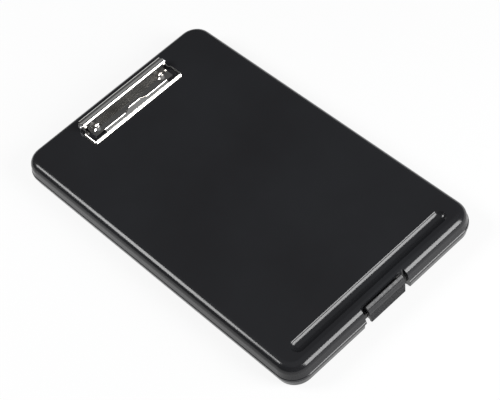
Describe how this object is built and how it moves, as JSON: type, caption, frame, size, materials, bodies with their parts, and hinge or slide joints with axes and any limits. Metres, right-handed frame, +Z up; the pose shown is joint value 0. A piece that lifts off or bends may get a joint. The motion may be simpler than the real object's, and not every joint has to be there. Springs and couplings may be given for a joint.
{
  "type": "storage clipboard box",
  "caption": "Slim hinged storage box with a snap latch, a pen groove and a sprung paper clip riveted to its lid.",
  "frame": {"origin": "middle of the closed box's whole footprint, on the flat face that it lies on", "axes": "+Y towards the hinge edge and the clip, +X to the right with the clip at the far end, +Z up through the lid"},
  "size_m": [0.23, 0.3812, 0.0371],
  "materials": {
    "shell_plastic": "black moulded plastic, fine satin grain",
    "latch_plastic": "charcoal moulded plastic, finely ribbed",
    "clip_chrome": "bright nickel plated pressed steel",
    "steel": "plain bright steel wire and rod"
  },
  "bodies": {
    "base": {"base_tray": "shell_plastic", "hinge_rod": "steel", "latch_pin": "steel"},
    "lid": {"lid_shell": "shell_plastic", "clip_plate": "clip_chrome", "clip_rod": "steel", "rivet_left": "clip_chrome", "rivet_right": "clip_chrome", "rivet_washer_left": "steel", "rivet_washer_right": "steel"},
    "latch": {"latch_tab": "latch_plastic"},
    "jaw": {"clip_jaw": "clip_chrome", "clip_spring_left": "steel", "clip_spring_right": "steel"}
  },
  "joints": [
    {"name": "lid_hinge", "type": "hinge", "parent": "base", "child": "lid", "pos_m": [0, 0.18718, 0.0088], "axis": [-1, 0, 0], "range_deg": [0, 140]},
    {"name": "latch_pivot", "type": "hinge", "parent": "base", "child": "latch", "pos_m": [0, -0.18507, 0.0052], "axis": [1, 0, 0], "range_deg": [0, 70]},
    {"name": "jaw_pivot", "type": "hinge", "parent": "lid", "child": "jaw", "pos_m": [0, 0.16193, 0.0312], "axis": [-1, 0, 0], "range_deg": [0, 30], "stiffness_Nm_per_rad": 0.1, "springref_deg": -28.65}
  ]
}
